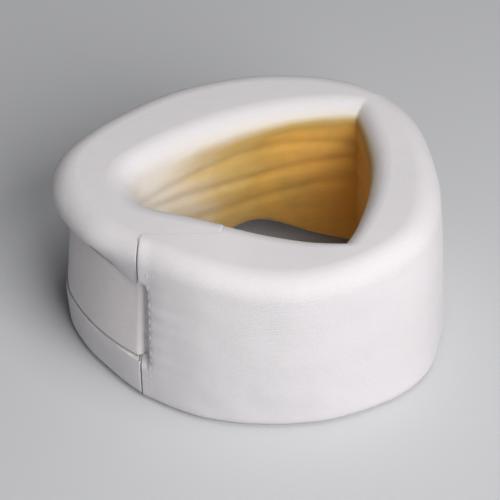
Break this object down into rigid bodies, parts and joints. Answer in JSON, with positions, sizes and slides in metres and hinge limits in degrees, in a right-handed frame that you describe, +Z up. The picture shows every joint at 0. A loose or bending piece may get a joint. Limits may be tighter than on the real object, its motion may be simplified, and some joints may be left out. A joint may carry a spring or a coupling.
{
  "type": "cervical collar",
  "caption": "Soft foam neck collar in a knitted cover, closed into a loop at the nape by a hook-and-loop strap.",
  "frame": {"origin": "centre of the bounding box's bottom face, on the plane the collar stands on", "axes": "+Z up along the neck; the wearer's chin is toward -Y, the closure at the nape toward +Y and the wearer's left toward +X"},
  "size_m": [0.1366, 0.1604, 0.082],
  "materials": {
    "stockinette": "white rib-knit cotton, cream on the inside",
    "foam": "soft open-cell polyurethane foam",
    "hook_tape": "woven white nylon tape",
    "hooks": "field of fine nylon hooks",
    "loop_tape": "woven white nylon tape",
    "loop_pile": "brushed loop pile",
    "thread": "white polyester sewing thread"
  },
  "bodies": {
    "front_panel": {"cover_front_panel": "stockinette", "foam_front_panel": "foam"},
    "left_wing": {"cover_left_wing": "stockinette", "foam_left_wing": "foam", "loop_patch": "loop_tape", "loop_pile": "loop_pile", "loop_patch_stitches": "thread", "inner_end_stitches": "thread"},
    "right_wing": {"cover_right_wing": "stockinette", "foam_right_wing": "foam", "strap_root": "hook_tape", "strap_root_stitches": "thread", "outer_end_stitches": "thread"},
    "strap": {"closure_strap": "hook_tape", "strap_hooks": "hooks"}
  },
  "joints": [
    {"name": "right_wing_bend", "type": "hinge", "parent": "front_panel", "child": "right_wing", "pos_m": [-0.05106, -0.06058, 0.041], "axis": [0, 0, 1], "range_deg": [0, 60]},
    {"name": "left_wing_bend", "type": "hinge", "parent": "front_panel", "child": "left_wing", "pos_m": [0.05374, -0.05858, 0.041], "axis": [0, 0, 1], "range_deg": [-60, 0]},
    {"name": "strap_peel", "type": "hinge", "parent": "right_wing", "child": "strap", "pos_m": [-0.05357, 0.04368, 0.042], "axis": [0, 0, 1], "range_deg": [0, 110]}
  ],
  "couplings": [
    {"joint": "right_wing_bend", "follows": "left_wing_bend", "ratio": -1}
  ]
}
